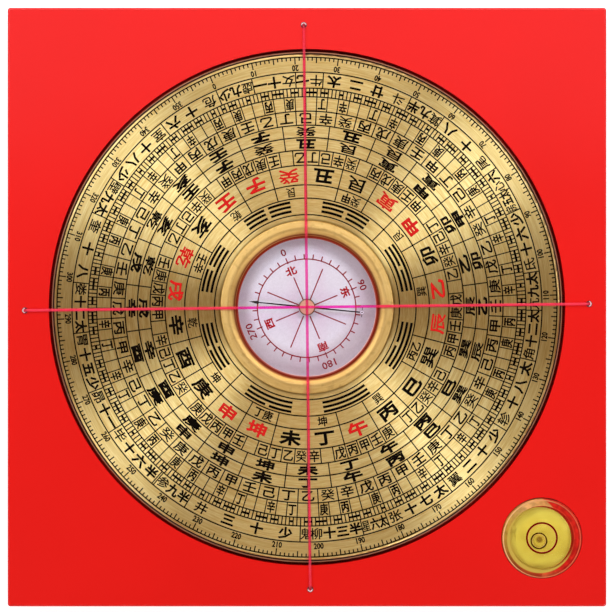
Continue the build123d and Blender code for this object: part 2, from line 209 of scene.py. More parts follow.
def brushed_round(
    name, dark, light, roughness, spread, line_mm, arc_count, bump, blotch=0.0, painted_shade=(), painted=None
):
    """Brass worked on a lathe or with a turning brush, round the Z axis.

    The rows of painted shade give (radius in mm, hex, share), between which a layer of that colour fades.
    painted gives a (radius in mm, hex) inside which the wall is painted instead.
    """
    made, tree, mm_place = new_material(name)
    radius, flat = axis_distance(tree, mm_place)
    around = add(tree, "VectorMath", {0: flat}, operation="NORMALIZE")
    arc = add(tree, "VectorMath", {0: around, "Scale": arc_count}, operation="SCALE")
    arc_xy = add(tree, "SeparateXYZ", {"Vector": arc})
    across = add(tree, "Math", {0: radius, 1: line_mm}, operation="DIVIDE")
    grooves_at = add(
        tree, "CombineXYZ", {"X": arc_xy.outputs["X"], "Y": arc_xy.outputs["Y"], "Z": across}
    )
    grooves = add(
        tree, "TexNoise", {"Vector": grooves_at, "Scale": 1.0, "Detail": 5.0, "Roughness": 0.78}
    )
    tone = add(tree, "ValToRGB", {"Fac": grooves}, stops=((0.32, dark), (0.67, light)))
    if blotch:
        dark_patch = add(tree, "TexNoise", {"Vector": mm_place, "Scale": 1 / 1.6, "Detail": 4.0})
        amount = add(tree, "ValToRGB", {"Fac": dark_patch}, stops=((0.55, 0.0), (0.72, blotch)))
        tone = add(tree, "Mix", {"Factor": amount, "A": tone, "B": "#8A6A2E"}, **BLEND)
    # This layer is painted shade over the brass.
    if painted_shade:
        shade_tint = zones(tree, radius, *((mm, tint) for mm, tint, _ in painted_shade))
        share = zones(tree, radius, *((mm, amount) for mm, _, amount in painted_shade))
        tone = add(tree, "Mix", {"Factor": share, "A": tone, "B": shade_tint}, **BLEND)
    rough = add(
        tree, "ValToRGB", {"Fac": grooves}, stops=((0.2, roughness * 0.85), (0.8, roughness * 1.2))
    )
    relief = add(tree, "Bump", {"Height": grooves, "Strength": bump, "Distance": 0.02 * MM})
    along = add(tree, "Tangent", direction_type="RADIAL", axis="Z")
    shader = add(tree, "BsdfPrincipled", {
        "Base Color": tone, "Metallic": 1.0, "Roughness": rough, "Anisotropic": spread,
        "Anisotropic Rotation": 0.25, "Tangent": along, "Normal": relief,
    })
    if painted:
        inside = add(tree, "Math", {0: radius, 1: painted[0]}, operation="LESS_THAN")
        paint = add(tree, "BsdfPrincipled", {"Base Color": painted[1], "Roughness": 0.6})
        shader = add(tree, "MixShader", {0: inside, 1: shader, 2: paint})
    add(tree, "OutputMaterial", {"Surface": shader})
    return made


# The brush lines of the real dial are about 0.05 mm apart, finer than a pixel, so they are drawn 0.3 mm
# apart. Painted shade darkens the brass in the corner along the bezel, and again towards its outer edge.
face_finish = brushed_round(
    "circular_brushed_brass", "#DCBC60", "#FFF4AE",
    roughness=0.3, spread=0.9, line_mm=0.32, arc_count=7.0, bump=0.35,
    painted_shade=(
        (21.7, "#6A5014", 0.85), (22.05, "#7A5C20", 0.5), (22.4, "#C09448", 0.2), (26.0, "#DCB25A", 0.25),
        (40.0, "#E8C674", 0.0), (58.2, "#B0904C", 0.0), (59.6, "#A88846", 0.22), (63.4, "#9C7C3C", 0.12),
    ),
)
# The cup's inner wall is painted white, so that the card stays light up to its edge.
bezel_finish = brushed_round(
    "satin_turned_brass", "#CCA95E", "#DABE76",
    roughness=0.42, spread=0.0, line_mm=0.5, arc_count=3.0, bump=0.15, blotch=0.3,
    # The dark red-brown layer along the inner slope is painted shade and a painted reflection of the red
    # ring beside it.
    painted_shade=(
        (18.2, "#641C0C", 0.94), (18.4, "#84482A", 0.75), (18.65, "#A87440", 0.3),
        (18.9, "#B08442", 0.35), (19.8, "#C09450", 0.0),
    ),
    painted=(17.55, "#F0ECF2"),
)
cap_finish = brushed_round(
    "turned_red_brass", "#D8AE88", "#E6C09C",
    roughness=0.5, spread=0.2, line_mm=0.15, arc_count=2.0, bump=0.3,
    # Its dark rim is painted shade.
    painted_shade=((1.7, "#A88458", 0.0), (1.95, "#4A3A20", 0.85), (2.1, "#3A2C14", 0.9)),
)
# These three are hardly seen. Their numbers stand in the same order.
bush_finish = brushed_round("turned_bearing_brass", "#C79A4E", "#DDB56C", 0.4, 0.4, 0.3, 3.0, 0.3)
# The rim band's pinkish tint is a painted reflection of the red board beside it.
rim_finish = brushed_round("aluminium_band_with_painted_reflection", "#B47C5C", "#CA906E", 0.35, 0.3, 0.2, 4.0, 0.15)
steel_finish = brushed_round("plain_turned_steel", "#8E8E90", "#B0B0B2", 0.35, 0.3, 0.2, 3.0, 0.3)

print("metals:", face_finish.name, bezel_finish.name, rim_finish.name)

# %% [markdown]
# The small parts and the inks share one plain kind of finish: moulded plastic, dark phenolic board, blued
# steel and enamel ink. Each has a fine grain in its colour, roughness and relief, at the size that
# moulding, sawing, polishing or printing leaves.

# %% Small plain finishes


def grained(name, dark, light, grain_mm, roughness, metallic=0.0, specular=0.5):
    """A finish with fine, even grain in its colour, roughness and relief. Metals keep the default IOR."""
    made, tree, mm_place = new_material(name)
    grain = add(tree, "TexNoise", {"Vector": mm_place, "Scale": 1 / grain_mm, "Detail": 3.0})
    tone = add(tree, "ValToRGB", {"Fac": grain}, stops=((0.3, dark), (0.7, light)))
    rough = add(tree, "ValToRGB", {"Fac": grain}, stops=((0.3, roughness * 0.9), (0.7, roughness * 1.1)))
    relief = add(tree, "Bump", {"Height": grain, "Strength": 0.1, "Distance": 0.02 * MM})
    surface = add(tree, "BsdfPrincipled", {
        "Base Color": tone, "Metallic": metallic, "Roughness": rough, "Normal": relief,
    })
    if not metallic:
        surface.inputs["Specular IOR Level"].default_value = specular
    add(tree, "OutputMaterial", {"Surface": surface})
    return made


phenolic_finish = grained("dark_phenolic_board", "#120606", "#1E0B0A", 0.4, 0.4)
washer_finish = grained("sliding_acetal_washer", "#CFC8BC", "#DAD3C8", 0.5, 0.5)
blued_finish = grained("blued_spring_steel", "#2A2C30", "#3C3F45", 0.2, 0.3, metallic=1.0)
base_finish = grained("moulded_level_base", "#B89A3C", "#C9AB48", 0.4, 0.4)
black_ink = grained("black_enamel_ink", "#060300", "#0C0602", 0.25, 0.7, specular=0.04)
red_ink = grained("red_enamel_ink", "#C80E08", "#D8180E", 0.25, 0.55, specular=0.15)
crimson_ink = grained("crimson_card_ink", "#A80018", "#B4041E", 0.25, 0.6, specular=0.05)
plum_ink = grained("dark_crimson_card_ink", "#860A1E", "#941026", 0.25, 0.6, specular=0.05)

print("plain finishes:", len(bpy.data.materials))

# %% [markdown]
# Four small finishes change over the part. The card greys towards its edge, as painted shade. The ring
# that holds the glass is moulded with a rounded face, which the flat solid doesn't have, so a bump gives
# it that roundness: its inner edge then tips towards the middle and catches the lamps, and a pale inner
# edge is painted on as a highlight. The fork on the needle's tail is bright in its ring, with painted
# shade at its edges, where it is bent down. The eyelets are pale outside and painted dark red inside,
# with a thin painted shade round their edge.

# %% Card, glass ring, tail fork and eyelets
card_finish, tree, mm_place = new_material("white_printed_card")
# The card is a little greyer towards its lower right edge, where the bezel keeps light off it.
reach, _ = axis_distance(tree, mm_place, (-1.2, 2.0))
paper = zones(
    tree, reach, (12.0, "#E0E1E6"), (13.4, "#D5D2D6"), (14.2, "#CAC5CA"), (15.5, "#C4BCC0"),
    (17.5, "#C0B6BA"),
)
fibre = add(tree, "TexNoise", {"Vector": mm_place, "Scale": 1 / 0.6, "Detail": 3.0})
grain = add(tree, "ValToRGB", {"Fac": fibre}, stops=((0.3, 0.95), (0.7, 1.04)))
printed = add(tree, "Mix", {"Factor": 1.0, "A": paper, "B": grain}, **MULTIPLY)
card = add(tree, "BsdfPrincipled", {"Base Color": printed, "Roughness": 0.6})
add(tree, "OutputMaterial", {"Surface": card})

RING_OUTER = extent(*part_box("glass_ring")).radius
RING_INNER = 17.25
RING_ROUNDING = 0.09

ring_finish, tree, mm_place = new_material("red_brown_moulded_ring")
# A pale inner edge is painted on as a highlight. Its colour runs a little off the middle, so that
# edge shows at the lower right alone.
highlight_reach, _ = axis_distance(tree, mm_place, (0.075, -0.13))
tone = zones(
    tree, highlight_reach, (RING_INNER - 0.08, "#E8B8AE"), (RING_INNER + 0.08, "#A04C3A"),
    (RING_INNER + 0.38, "#7A1E10"), (RING_OUTER - 0.15, "#68160A"), (RING_OUTER + 0.12, "#A8703E"),
)
distance, _ = axis_distance(tree, mm_place)
crown = zones(
    tree, distance, (RING_INNER - 0.1, 0.0), (RING_INNER + 0.25, 0.75), (RING_INNER + 0.45, 0.97),
    (RING_OUTER, 1.0),
)
rounded = add(tree, "Bump", {"Height": crown, "Strength": 1.0, "Distance": RING_ROUNDING * MM})
moulded = add(tree, "BsdfPrincipled", {
    "Base Color": tone, "Roughness": 0.14, "Specular IOR Level": 0.5, "Coat Weight": 0.3,
    "Coat Roughness": 0.1, "Normal": rounded, "Coat Normal": rounded,
})
add(tree, "OutputMaterial", {"Surface": moulded})

fork = extent(*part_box("needle_tail_fork"))
bright_finish, tree, mm_place = new_material("bright_nickelled_steel")
distance, _ = axis_distance(tree, mm_place, (fork.x, fork.y))
# Its dark edges are painted shade.
tone = zones(tree, distance, (0.4, "#FAFAFF"), (0.5, "#4A4A52"), (1.2, "#2E2E34"))
nickel = add(tree, "BsdfPrincipled", {"Base Color": tone, "Metallic": 0.3, "Roughness": 0.35})
add(tree, "OutputMaterial", {"Surface": nickel})

# The eyelets are white nylon. Their inner half, where the thread lies on it, is painted dark red, and
# a thin dark line round each edge is painted shade.
EYELET_RADIUS = 0.76
EYELET_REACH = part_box("thread_eyelets")[1].x / MM - EYELET_RADIUS
THREADS_TURNED = radians(-0.66)
nylon_finish, tree, mm_place = new_material("white_nylon_with_painted_shade")
turned_back = add(tree, "Mapping", {"Vector": mm_place, "Rotation": (0, 0, THREADS_TURNED)})
mirrored = add(tree, "VectorMath", {0: turned_back}, operation="ABSOLUTE")
sides = add(tree, "SeparateXYZ", {"Vector": mirrored})
along = add(tree, "Math", {0: sides.outputs["X"], 1: sides.outputs["Y"]}, operation="MAXIMUM")
aside = add(tree, "Math", {0: sides.outputs["X"], 1: sides.outputs["Y"]}, operation="MINIMUM")
dark_patch = zones(tree, along, (EYELET_REACH - 0.1, "#5A0A0A"), (EYELET_REACH + 0.15, "#FFF8F4"))
over = add(tree, "Math", {0: along, 1: EYELET_REACH}, operation="SUBTRACT")
local = add(tree, "CombineXYZ", {"X": over, "Y": aside})
# A thin dark line painted round each eyelet's edge is shade.
shade_edge_rows = (EYELET_RADIUS - 0.2, 0.0), (EYELET_RADIUS - 0.1, 0.9)
nylon_tone = round_mark(tree, local, (0, 0), dark_patch, "#6A1410", *shade_edge_rows)
nylon = add(tree, "BsdfPrincipled", {"Base Color": nylon_tone, "Roughness": 0.35})
add(tree, "OutputMaterial", {"Surface": nylon})

print("glass ring", RING_INNER, "to", round(RING_OUTER, 2), "fork at", round(fork.x, 2), round(fork.y, 2))

# %% [markdown]
# The capsule's glass is a flat disc. Flat glass doesn't bend what lies straight under it, so it needs no
# real refraction: most light passes, and a little is mirrored, more at a slant. A Transparent shader is
# mixed with a Glossy one. Lamps then shine through it onto the card without any noise. A Fresnel node
# would turn the inner faces into full mirrors at a slant, because nothing is bent here, so the share
# that is mirrored comes from Layer Weight's Facing, which is the same from either side.

# %% Window glass


def mirrored_share(tree, head_on):
    """How much a clear surface mirrors: head_on when seen straight, and all at a grazing slant."""
    slant = add(tree, "LayerWeight", {"Blend": 0.5}).outputs["Facing"]
    steep = add(tree, "Math", {0: slant, 1: 5.0}, operation="POWER")
    return add(tree, "Math", {0: steep, 1: 1.0 - head_on, 2: head_on}, operation="MULTIPLY_ADD")


glass_finish, tree, mm_place = new_material("polished_window_glass")
clear = add(tree, "BsdfTransparent", {"Color": "#FEFEFF"})
smear = add(tree, "TexNoise", {"Vector": mm_place, "Scale": 1 / 8.0, "Detail": 2.0})
polish = add(tree, "ValToRGB", {"Fac": smear}, stops=((0.35, 0.03), (0.75, 0.12)))
mirror = add(tree, "BsdfGlossy", {"Color": "#FFFFFF", "Roughness": polish})
pane = add(tree, "MixShader", {0: mirrored_share(tree, 0.022), 1: clear, 2: mirror})
add(tree, "OutputMaterial", {"Surface": pane})

print("material:", glass_finish.name)

# %% [markdown]
# The threads are nylon fishing line in a fluorescent pink-red. Such line is clear but strongly tinted:
# over the white card it looks magenta, over brass pink-red. So a tinted surface is mixed with a clear one
# that only passes pink light, and over the card, where light comes back up through the line, there is
# less of the surface. The thread across the picture faces the lamps above and below it and gathers more
# of their light than the other, so it has more surface and a little painted glow in place of that light.

# %% Fluorescent line
CARD_EDGE, BRASS_EDGE = 17.0, 18.4


def line_finish(name, dark, light, glow, over_card, over_brass, passed):
    """Tinted clear nylon. Two shares say how much is surface, and the rest lets passed through."""
    made, tree, mm_place = new_material(name)
    twist = add(tree, "TexNoise", {"Vector": mm_place, "Scale": 1 / 1.5, "Detail": 2.0})
    line_red = add(tree, "ValToRGB", {"Fac": twist}, stops=((0.3, dark), (0.7, light)))
    # The emission is a painted glow, in place of lamp light that the line gathers.
    tinted = add(tree, "BsdfPrincipled", {
        "Base Color": line_red, "Roughness": 0.3, "IOR": 1.53, "Specular IOR Level": 0.3,
        "Emission Color": "#FF3A58", "Emission Strength": glow,
    })
    passing = add(tree, "BsdfTransparent", {"Color": passed})
    reach, _ = axis_distance(tree, mm_place)
    solid = zones(tree, reach, (CARD_EDGE, over_card), (BRASS_EDGE, over_brass))
    line = add(tree, "MixShader", {0: solid, 1: passing, 2: tinted})
    add(tree, "OutputMaterial", {"Surface": line})
    return made


across_finish = line_finish(
    "fluorescent_nylon_line_across", "#EC4450", "#F54E5C", 0.15, 0.25, 0.48, "#FC90FF"
)
along_finish = line_finish(
    "fluorescent_nylon_line_along", "#E84C5A", "#F05866", 0.1, 0.15, 0.34, "#FCA8E4"
)

print("materials:", across_finish.name, along_finish.name)

# %% [markdown]
# Now the CAD nodes get their finishes. Each node's mesh stays as it is, so only the material slots are
# filled.

# %% Finishes for the CAD nodes
finishes = {
    "base_board": board_finish, "centre_bush": bush_finish, "thrust_washer": washer_finish,
    "thread_eyelets": nylon_finish, "thread_north_south": along_finish, "thread_east_west": across_finish,
    "level_base_disc": base_finish, "dial_disc": phenolic_finish, "dial_face_plate": face_finish,
    "dial_rim": rim_finish, "compass_housing": bezel_finish, "compass_card": card_finish,
    "pivot_pin": steel_finish, "compass_glass": glass_finish, "glass_ring": ring_finish,
    "stem_washer": steel_finish, "lock_nut": steel_finish, "needle": blued_finish,
    "needle_tail_fork": bright_finish, "needle_cap": cap_finish,
}


def wear(node_name, material):
    """Gives a CAD node one material, in place of what it had."""
    thing = nodes[node_name]
    thing.data.materials.clear()
    thing.data.materials.append(material)


for node_name, material in finishes.items():
    wear(node_name, material)
print("dressed nodes:", len(finishes), "of", len(nodes))

# %% [markdown]
# The print. A real dial is screen printed or engraved and filled: the ink stands one or two hundredths of
# a millimetre high. It could be painted by a texture, but lines and characters made as thin closed
# pieces stay sharp at any size and turn with the dial. First come the helpers. A line or tick is a cube
# stretched and turned. A ring is a small rectangle spun once round the axis. The level's turned shapes
# are spun in the same way.

# %% Helpers for print
INK_HEIGHT = 0.02
INK_SINK = 0.004
ZERO_ANGLE = radians(112.8)
FACE_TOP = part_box("dial_face_plate")[1].z / MM
CARD_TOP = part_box("compass_card")[1].z / MM


def angle_of(bearing):
    """The dial counts clockwise from its own north, and the mathematical angle counts the other way."""
    return ZERO_ANGLE - radians(bearing)


def tick(bm, bearing, inner, outer, width, base=FACE_TOP):
    """A radial line from one radius to another."""
    angle = angle_of(bearing)
    middle = (inner + outer) / 2
    place = (
        Matrix.Rotation(angle, 4, "Z")
        @ Matrix.Translation((middle, 0, base + (INK_HEIGHT - INK_SINK) / 2))
        @ Matrix.Diagonal((outer - inner, width, INK_HEIGHT + INK_SINK, 1))
    )
    bmesh.ops.create_cube(bm, size=1.0, matrix=place)


def join(bm, part):
    """Adds a finished shape to a larger bmesh, in which operators would run more slowly."""
    carrier = bpy.data.meshes.new("carrier")
    part.to_mesh(carrier)
    part.free()
    bm.from_mesh(carrier)
    bpy.data.meshes.remove(carrier)


def turned(points, centre=(0, 0), steps=96):
    """A bmesh from a profile of (radius, height) points, spun round an upright axis through centre."""
    bm = bmesh.new()
    verts = [bm.verts.new((centre[0] + r, centre[1], z)) for r, z in points]
    edges = [bm.edges.new(pair) for pair in zip(verts, verts[1:])]
    bmesh.ops.spin(
        bm, geom=verts + edges, cent=(*centre, 0), axis=(0, 0, 1), angle=2 * pi, steps=steps,
        use_merge=True, use_duplicate=False,
    )
    bmesh.ops.remove_doubles(bm, verts=bm.verts, dist=0.0005)
    return bm


def ring(bm, radius, width, base=FACE_TOP, steps=180):
    """A printed circle: a rectangle spun round the axis."""
    inner, outer = radius - width / 2, radius + width / 2
    low, high = base - INK_SINK, base + INK_HEIGHT
    corners = [(inner, low), (outer, low), (outer, high), (inner, high), (inner, low)]
    join(bm, turned(corners, steps=steps))


def arc_bar(bm, bearing, span, radius, width, cuts=11):
    """A short bar that follows a circle: a cube cut along its length, then bent round the axis."""
    part = bmesh.new()
    bmesh.ops.create_cube(part, size=1.0)
    long_edges = [e for e in part.edges if abs(e.verts[0].co.x - e.verts[1].co.x) > 0.5]
    bmesh.ops.subdivide_edges(part, edges=long_edges, cuts=cuts, use_grid_fill=True)
    for v in part.verts:
        angle = angle_of(bearing) + radians(v.co.x * span)
        reach = radius + v.co.y * width
        height = FACE_TOP - INK_SINK + (v.co.z + 0.5) * (INK_HEIGHT + INK_SINK)
        v.co = (reach * cos(angle), reach * sin(angle), height)
    join(bm, part)


def piece(name, bm, materials, body):
    """Turns a bmesh in millimetres into a finished piece that rides on a CAD body."""
    bmesh.ops.scale(bm, vec=(MM, MM, MM), verts=bm.verts)
    bmesh.ops.recalc_face_normals(bm, faces=bm.faces)
    mesh = bpy.data.meshes.new(name)
    bm.to_mesh(mesh)
    bm.free()
    for material in materials:
        mesh.materials.append(material)
    made = bpy.data.objects.new(name, mesh)
    scene.collection.objects.link(made)
    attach(made, body)
    triangles = sum(len(p.vertices) - 2 for p in mesh.polygons)
    print(name, "rides on", body, "with", triangles, "triangles")
    return made


# %% [markdown]
# The characters. Blender's own font draws Chinese characters through its fallback font, as even
# strokes. The dial's main characters are bold and wide, in the clerical hand. Scaling a whole letter
# would thicken only some strokes, so the outline is scaled first, and then a bevel adds the same weight
# to every stroke, less in a character that is full of strokes. Each shape is made once and stamped
# wherever it is printed.

# %% Helpers for characters
HAN_WIDTH, HAN_HEIGHT, HAN_MIDDLE = 0.90, 0.87, 0.36
DIGIT_HEIGHT, DIGIT_MIDDLE = 0.70, 0.341
CURVE_STEPS = 2
FULL_CHARACTERS, FULL_SHARE = "癸艮寅巽乾辰", 0.5
BUSY_CHARACTERS, BUSY_SHARE = "戌亥酉坤辛庚卯申南", 0.8
# Width, height and added stroke weight of each kind of character, in millimetres.
LARGE, SMALL, HALF = (4.7, 3.3, 0.05), (4.5, 2.2, 0.055), (2.3, 2.3, 0.038)
EARLY_STEM, LATE_STEM, TWELFTH_STEM = (2.5, 2.7, 0.035), (3.2, 2.6, 0.035), (1.9, 2.7, 0.045)
letter_store = {}


def letter(text, width, height, weight, digits=False):
    """A printed character or number as a thin closed mesh, its top towards +Y, centred on the origin.

    Sizes are in millimetres, but the width of digits is a share of the font's own.
    """
    key = (text, round(width, 2), round(height, 2), weight)
    if key in letter_store:
        return letter_store[key]
    words = bpy.data.curves.new("letter", "FONT")
    words.body = text
    words.align_x = "CENTER"
    words.resolution_u = CURVE_STEPS
    holder = bpy.data.objects.new("letter", words)
    scene.collection.objects.link(holder)
    depsgraph = bpy.context.evaluated_depsgraph_get()
    outline = holder.evaluated_get(depsgraph).to_curve(depsgraph).copy()
    bpy.data.objects.remove(holder)
    if text in FULL_CHARACTERS:
        weight *= FULL_SHARE
    elif text in BUSY_CHARACTERS:
        weight *= BUSY_SHARE
    high = height / (DIGIT_HEIGHT if digits else HAN_HEIGHT)
    wide = width / HAN_WIDTH if not digits else high * width
    middle = DIGIT_MIDDLE if digits else HAN_MIDDLE
    outline.transform(Matrix.Diagonal((wide, high, 1, 1)) @ Matrix.Translation((0, -middle, 0)))
    outline.dimensions = "2D"
    outline.fill_mode = "BOTH"
    outline.resolution_u = CURVE_STEPS
    outline.bevel_resolution = 0
    outline.bevel_depth = weight
    solid = bpy.data.objects.new("letter", outline)
    scene.collection.objects.link(solid)
    depsgraph = bpy.context.evaluated_depsgraph_get()
    mesh = bpy.data.meshes.new_from_object(solid.evaluated_get(depsgraph))
    bpy.data.objects.remove(solid)
    half = max(abs(v.co.z) for v in mesh.vertices)
    thin = (INK_HEIGHT + INK_SINK) / 2 / half
    mesh.transform(Matrix.Diagonal((1, 1, thin, 1)))
    letter_store[key] = mesh
    return mesh


def stamp(bm, mesh, bearing, radius, base=FACE_TOP, outward=False):
    """Prints a letter at a bearing, with its top towards the middle, or outward."""
    angle = angle_of(bearing)
    turn = angle - pi / 2 if outward else angle + pi / 2
    place = (
        Matrix.Translation((radius * cos(angle), radius * sin(angle), base + (INK_HEIGHT - INK_SINK) / 2))
        @ Matrix.Rotation(turn, 4, "Z")
    )
    mesh.transform(place)
    bm.from_mesh(mesh)
    mesh.transform(place.inverted())


print("one bold character has", len(letter("癸", *LARGE).polygons), "faces")

# %% [markdown]
# The dial's lines. Twelve circles part the rings, and radial lines part each ring into its cells: 8
# trigrams, 24 bearings, 72, 60 and 120 divisions, 360 single degrees and the 28 unequal lunar mansions.
# The outer ring is a plain degree scale. All of these are a traditional compass's common scales.

# %% The dial's rings and divisions
# The inner radius of each ring, and last the outermost circle's.
RING_RADII = (23.18, 27.32, 30.65, 35.59, 39.34, 42.50, 45.61, 49.12, 52.73, 54.88, 58.89, 62.65)
RING_WIDTH = 0.31
CELL_WIDTH = 0.29
TWELFTH_WIDTH = CELL_WIDTH * 0.9
MARK_WIDTH = 0.3
BRIDGE_WIDTH = 0.55
(
    TRIGRAM_IN, HALVES_IN, _, STEMS_IN, EARLY_IN, LATE_IN,
    SIXTY_IN, TWELFTHS_IN, SINGLES_IN, MANSIONS_IN, DEGREES_IN, DEGREES_OUT,
) = RING_RADII
# The middle of each ring. Those of the trigrams and of the degrees aren't needed.
(
    _, HALVES_AT, BEARINGS_AT, STEMS_AT, EARLY_AT, LATE_AT,
    SIXTY_AT, TWELFTHS_AT, SINGLES_AT, MANSIONS_AT, _,
) = ((inner + outer) / 2 for inner, outer in zip(RING_RADII, RING_RADII[1:]))

lines = bmesh.new()
for radius in RING_RADII:
    ring(lines, radius, RING_WIDTH)
for i in range(8):
    tick(lines, 45 * i + 22.5, TRIGRAM_IN, HALVES_IN, CELL_WIDTH)
for i in range(24):
    tick(lines, 15 * i + 7.5, HALVES_IN, STEMS_IN, CELL_WIDTH)
    tick(lines, 15 * i, EARLY_IN, LATE_IN, CELL_WIDTH)
    tick(lines, 15 * i, LATE_IN, SIXTY_IN, CELL_WIDTH)
for i in range(72):
    tick(lines, 5 * i + 2.5, STEMS_IN, EARLY_IN, CELL_WIDTH)
for i in range(60):
    tick(lines, 6 * i + 1.5, SIXTY_IN, TWELFTHS_IN, CELL_WIDTH)
for i in range(120):
    tick(lines, 3 * i + 1.5, TWELFTHS_IN, SINGLES_IN, TWELFTH_WIDTH)

MARK_LENGTHS = {10: 1.75, 5: 1.45, 1: 0.88}
for degree in range(360):
    tick(lines, degree + 0.5, SINGLES_IN, MANSIONS_IN, CELL_WIDTH)
    step = next(s for s in (10, 5, 1) if degree % s == 0)
    tick(lines, degree, DEGREES_OUT - MARK_LENGTHS[step], DEGREES_OUT, MARK_WIDTH)

# In the ring of single degrees some neighbours are joined by a short bar, in uneven groups.
for degree in range(360):
    if (degree * 7 + degree // 5 * 3) % 10 < 5:
        arc_bar(lines, degree, 1.0, SINGLES_AT, BRIDGE_WIDTH, cuts=1)

# %% The lunar mansions
MANSION_WIDEST, MANSION_FILL, MANSION_HEIGHT = 3.1, 0.88, 2.6
MANSION_NAME_WEIGHT, MANSION_NUMERAL_WEIGHT = 0.022, 0.05
MANSIONS = (
    ("危十六", 16.0), ("室十八少", 18.25), ("壁九太", 9.75), ("奎十八", 18.0), ("娄十二太", 12.75),
    ("胃十五少", 15.25), ("昴十一", 11.0), ("毕十六半", 16.5), ("", 0.5), ("参九半", 9.5),
    ("井三十少", 30.25), ("鬼", 2.5), ("柳十三半", 13.5), ("星六太", 6.75), ("张十七太", 17.75),
    ("翼二十少", 20.25), ("轸十八太", 18.75), ("角十二太", 12.75), ("亢九太", 9.75), ("氐十六少", 16.25),
    ("房五太", 5.75), ("心六", 6.0), ("尾十八", 18.0), ("箕九半", 9.5), ("斗廿二太", 22.75),
    ("牛七", 7.0), ("女十一", 11.0), ("虚九少", 9.25),
)
mansion_total = sum(width for _, width in MANSIONS)
mansion_print = bmesh.new()
bearing = 0.0
for label, width in MANSIONS:
    span = 360 * width / mansion_total
    tick(lines, bearing, MANSIONS_IN, DEGREES_IN, CELL_WIDTH)
    for k, character in enumerate(label):
        share = span / len(label)
        wide = min(MANSION_WIDEST, radians(share) * MANSIONS_AT * MANSION_FILL)
        weight = MANSION_NUMERAL_WEIGHT if k else MANSION_NAME_WEIGHT
        shape = letter(character, wide, MANSION_HEIGHT, weight)
        stamp(mansion_print, shape, bearing - share * (k + 0.5), MANSIONS_AT)
    bearing -= span

piece("dial_print_lines", lines, [black_ink], "dial")
piece("dial_print_mansions", mansion_print, [black_ink], "dial")

# %% [markdown]
# The eight trigrams: three bars each, whole or broken in the middle. They sit on the eight main
# bearings.

# %% The trigrams
TRIGRAMS = ("000", "001", "101", "011", "111", "110", "010", "100")
BAR_RADII = (24.25, 25.41, 26.52)
BAR_WIDTH = 0.62
BAR_SPAN = 27.3
BAR_GAP = 2.2

trigrams = bmesh.new()
for i, pattern in enumerate(TRIGRAMS):
    for radius, whole in zip(BAR_RADII, pattern):
        if whole == "1":
            arc_bar(trigrams, 45 * i, BAR_SPAN, radius, BAR_WIDTH)
            continue
        part = (BAR_SPAN - BAR_GAP) / 2
        for side in (-1, 1):
            aside = side * (part + BAR_GAP) / 2
            arc_bar(trigrams, 45 * i + aside, part, radius, BAR_WIDTH, cuts=5)
piece("dial_print_trigrams", trigrams, [black_ink], "dial")

# %% [markdown]
# The 24 bearing names stand three times on the dial: once large, in red and black, and twice smaller,
# turned half a cell either way. Between them run the ten stems in their usual order.

# %% Bearings and stems
BEARINGS = "子癸丑艮寅甲卯乙辰巽巳丙午丁未坤申庚酉辛戌乾亥壬"
RED_BEARINGS = "子癸寅甲乙辰午坤申戌乾壬"
STEMS = "甲乙丙丁戊己庚辛壬癸"
HALF_SHIFT = 2.4
HALVES = ("艮", "癸甲", "艮", "巽", "丙乙", "巽", "坤", "丁庚", "坤", "乾", "壬辛", "乾")

black_print = bmesh.new()
red_print = bmesh.new()
fine_print = bmesh.new()

for i, character in enumerate(BEARINGS):
    target = red_print if character in RED_BEARINGS else black_print
    large = letter(character, *LARGE)
    stamp(target, large, 15 * i, BEARINGS_AT)
    small = letter(character, *SMALL)
    stamp(black_print, small, 15 * i - 7.5, EARLY_AT)
    stamp(black_print, small, 15 * i + 7.5, LATE_AT)

for i, label in enumerate(HALVES):
    for k, character in enumerate(label):
        shift = HALF_SHIFT * (2 * k - len(label) + 1)
        shape = letter(character, *HALF)
        stamp(fine_print, shape, 30 * i + 15 - shift, HALVES_AT)

for branch in range(12):
    for j in range(5):
        stem = STEMS[(branch + 2 * j) % 10]
        stamp(fine_print, letter(stem, *EARLY_STEM), 30 * branch - 10 + 5 * j, STEMS_AT)
        stamp(fine_print, letter(stem, *LATE_STEM), 340.5 + 30 * branch + 6 * j, SIXTY_AT)

for i in range(24):
    odd = (i // 2) % 2
    for shift, character in ((-3, "丙丁"[odd]), (3, "庚辛"[odd])):
        stamp(fine_print, letter(character, *TWELFTH_STEM), 15 * i + shift, TWELFTHS_AT)

piece("dial_print_black", black_print, [black_ink], "dial")
piece("dial_print_red", red_print, [red_ink], "dial")
piece("dial_print_stems", fine_print, [black_ink], "dial")

# %% The degree numbers
DEGREE_NUMBER = (0.82, 1.4, 0.045)
DEGREE_NUMBERS_AT = 59.95
degree_print = bmesh.new()
for degree in range(0, 360, 10):
    shape = letter(str(degree), *DEGREE_NUMBER, digits=True)
    stamp(degree_print, shape, degree, DEGREE_NUMBERS_AT)
piece("dial_print_degrees", degree_print, [black_ink], "dial")

# %% [markdown]
# The card under the glass carries its own small rose in crimson: a circle with ticks every ten degrees,
# eight rays, the four main directions and four numbers, with their tops outward.

